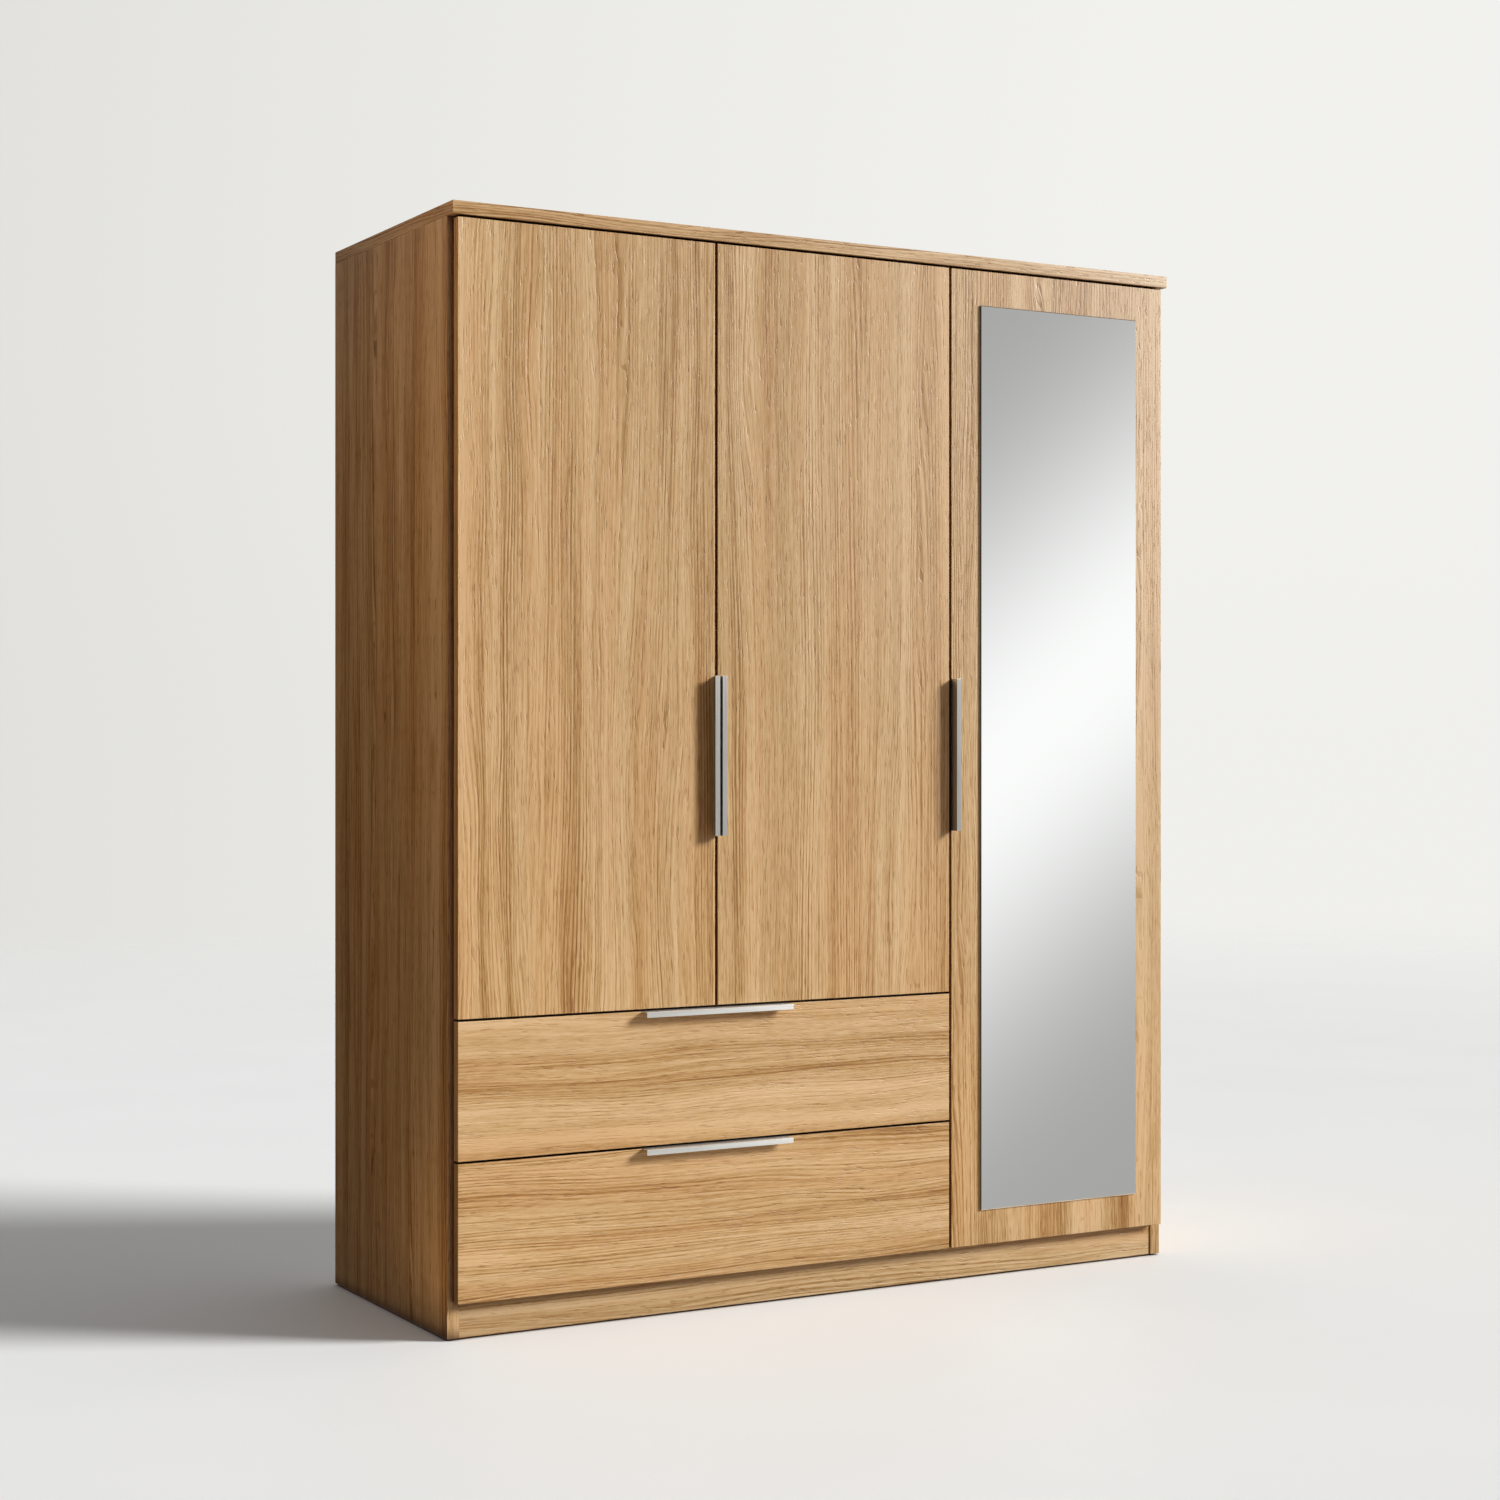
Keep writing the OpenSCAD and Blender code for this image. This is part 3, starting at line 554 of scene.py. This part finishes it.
def make_floor():
    """A round pale floor that fades into the backdrop, with shade painted where the wardrobe stands
    close. Reflections and bounced light miss it.
    """
    mesh = bpy.data.meshes.new("floor")
    turns = [2 * math.pi * i / FLOOR_SIDES for i in range(FLOOR_SIDES)]
    ring = [(FLOOR_RADIUS * math.cos(turn), FLOOR_RADIUS * math.sin(turn), 0.0) for turn in turns]
    mesh.from_pydata(ring, [], [list(range(FLOOR_SIDES))])
    floor = add_object("floor", mesh)
    floor.visible_glossy = False
    floor.visible_diffuse = False
    made, graph = material("floor")
    at = object_place(graph)
    cloud = graph.noise(at, 1.5, detail=3.0)
    pale = graph.ramp(cloud, [(0.3, (0.850, 0.862, 0.860)), (0.7, (0.870, 0.882, 0.880))])
    graph.surface(
        # The floor's colour darkened by painted shade near the wardrobe
        Base_Color=graph.tinted(pale, graph.painted_shade(reach=0.03), FLOOR_PAINTED_SHADE),
        Roughness=0.6,
        Specular_IOR_Level=0.2,
        Alpha=graph.smooth(graph.measured("LENGTH", at), FLOOR_WHOLE, FLOOR_GONE, 1.0, 0.0),
    )
    mesh.materials.append(made)


# ---- World ----

# Soft boxes that only reflections see: bright bands square to a slanting direction
BOX_SLANT = (-0.541, -0.387, 0.747)
BOX_SPACING = 0.36
BOX_NARROWNESS = 2.4
BOX_TONES = [(0.0, (0.41, 0.41, 0.40)), (1.0, (1.03, 1.03, 1.02))]
# What reflections see low down to the rear, and below the horizon
BEHIND_TINT = (0.04, 0.03, 0.02)
REFLECTED_FLOOR = (0.95, 0.95, 0.94)

# Soft light from the left, the middle and the right, and from straight above
SIDE_LIGHT = [
    (0.0, (0.062, 0.037, 0.020)),
    (0.5, (0.180, 0.140, 0.110)),
    (1.0, (0.34, 0.34, 0.345)),
]
TOP_LIGHT = (0.46, 0.49, 0.52)

# What the camera sees, from left to right, darker to the left as painted shade, and its tint from
# about the horizon down
BACKDROP = [(0.64, (0.750, 0.744, 0.716)), (0.90, (0.885, 0.880, 0.850))]
BACKDROP_FOOT = (0.985, 0.985, 0.985)


def make_world():
    """Pale backdrop for the camera, dim soft light, and slanting soft boxes in reflections."""
    world = bpy.data.worlds.new("studio")
    world.use_nodes = True
    bpy.context.scene.world = world
    graph = Graph(world.node_tree)
    direction = graph.node("ShaderNodeTexCoord").outputs["Generated"]
    rightward, rearward, upward = graph.split(direction)

    slant = graph.measured("DOT_PRODUCT", direction, BOX_SLANT)
    wave = graph.math("COSINE", graph.scaled(slant, 2 * math.pi / BOX_SPACING))
    boxes = graph.ramp(graph.math("POWER", graph.scaled(wave, 0.5, 0.5), BOX_NARROWNESS), BOX_TONES)
    behind = graph.times(graph.smooth(rearward, -0.1, 0.4), graph.smooth(upward, 0.32, 0.12))
    room = graph.tinted(boxes, behind, BEHIND_TINT)
    reflected = graph.mixed(graph.smooth(upward, -0.25, -0.55), room, REFLECTED_FLOOR)

    side = graph.smooth(rightward, -1.0, 1.0)
    soft = graph.mixed(graph.smooth(upward, 0.60, 1.0), graph.ramp(side, SIDE_LIGHT), TOP_LIGHT)
    # The backdrop, with painted shade darkening it to the left
    wall = graph.ramp(side, BACKDROP)
    backdrop = graph.tinted(wall, graph.smooth(upward, 0.15, -0.02), BACKDROP_FOOT)

    path = graph.node("ShaderNodeLightPath")
    lit = graph.mixed(path.outputs["Is Glossy Ray"], soft, reflected)
    background = graph.node("ShaderNodeBackground")
    graph.put(background.inputs[0], graph.mixed(path.outputs["Is Camera Ray"], lit, backdrop))
    out = graph.node("ShaderNodeOutputWorld")
    graph.put(out.inputs[0], background.outputs[0])


# ---- Lights ----

# The CAD nodes that a panel can be kept to
LIT_GROUPS = {
    "wardrobe": list(nodes),
    "shaded_side": ["side_left", "top_panel"],
    "left_pull": ["pull_left"],
    "left_edges": ["side_left", "top_panel", "door_left", "upper_front", "lower_front"],
    "oak_boards": list(OAK_BOARDS),
}

# Each panel's group and look
PANELS = {
    # Warm light on the left side and on the edges beside it
    "fill": ("left_edges", dict(
        energy=2.15, colour=(1.0, 0.71, 0.47),
        place=(-1.25, -0.36, 1.5), aim=(-0.75, 0.0, 1.3), size=(0.3, 1.5),
    )),
    # A shine on the oak, with no matt light
    "sheen": ("oak_boards", dict(
        energy=150.0, colour=(1.0, 1.0, 1.0),
        place=(3.7, -2.9, 2.1), aim=(0.7, -0.27, 1.1), size=(0.8, 2.0), lights=False, shines=True,
    )),
    # A shine down the left door's pull
    "lip_sheen": ("left_pull", dict(
        energy=0.6, colour=(1.0, 0.99, 0.96),
        place=(-1.5, -1.9, 1.25), aim=(-0.25, -0.29, 1.2), size=(0.5, 1.2), shines=True,
    )),
    # Warm light off the floor, in front of the wardrobe and at its shaded side's foot
    "floor_glow": ("wardrobe", dict(
        energy=6.0, colour=(1.0, 0.74, 0.50),
        place=(-0.50, -0.90, 0.01), aim=(-0.50, -0.90, 1.0), size=(3.2, 1.1),
    )),
    "foot_glow": ("shaded_side", dict(
        energy=0.35, colour=(1.0, 0.68, 0.40),
        place=(-0.95, -0.27, 0.02), aim=(-0.87, -0.27, 1.0), size=(0.3, 0.16),
    )),
    # Light on the rear
    "back": ("wardrobe", dict(
        energy=90.0, colour=(1.0, 0.98, 0.96),
        place=(0.6, 4.2, 2.6), aim=(0, 0.3, 0.9), size=(2.5,),
    )),
}


def group_of(name, pieces):
    """A collection outside the scene, of the CAD nodes that a light shines on."""
    made = bpy.data.collections.new(name)
    for piece in pieces:
        made.objects.link(nodes[piece])
    return made


def add_light(name, data, energy, colour, place, aim):
    data.energy = energy
    data.color = colour
    light = add_object(name, data)
    light.location = place
    light.rotation_euler = (Vector(aim) - Vector(place)).to_track_quat("-Z", "Y").to_euler()
    return light


def add_sun(name, angle, **look):
    data = bpy.data.lights.new(name, "SUN")
    data.angle = angle
    add_light(name, data, **look)


def add_panel(name, group, size, lights=True, shines=False, **look):
    """A panel for one group, unseen by the camera. Its size is a side, or a width and a height."""
    data = bpy.data.lights.new(name, "AREA")
    data.size = size[0]
    if len(size) == 2:
        data.shape = "RECTANGLE"
        data.size_y = size[1]
    light = add_light(name, data, **look)
    light.light_linking.receiver_collection = group
    light.visible_camera = False
    light.visible_diffuse = lights
    light.visible_glossy = shines


def make_lights():
    groups = {name: group_of(name, pieces) for name, pieces in LIT_GROUPS.items()}
    add_sun("key", angle=0.30, energy=4.95, colour=(1.0, 0.995, 0.985),
            place=(3.85, -2.44, 2.06), aim=(0, 0, 0))
    for name, (lit, look) in PANELS.items():
        add_panel(name, groups[lit], **look)


# ---- Camera ----

LENS = 63.11
SENSOR_WIDTH = 36.0
CAMERA_SHIFT = -0.0098
CAMERA_PLACE = (-2.466, -4.307, 1.011)
# The camera looks level, turned to the right by so many degrees.
CAMERA_TURN = 29.494


def make_camera():
    data = bpy.data.cameras.new("camera")
    data.lens = LENS
    data.sensor_width = SENSOR_WIDTH
    data.shift_y = CAMERA_SHIFT
    camera = add_object("camera", data)
    camera.location = CAMERA_PLACE
    camera.rotation_euler = (math.radians(90), 0.0, math.radians(-CAMERA_TURN))
    bpy.context.scene.camera = camera


make_floor()
make_world()
make_lights()
make_camera()
bpy.context.scene.view_settings.view_transform = "Standard"
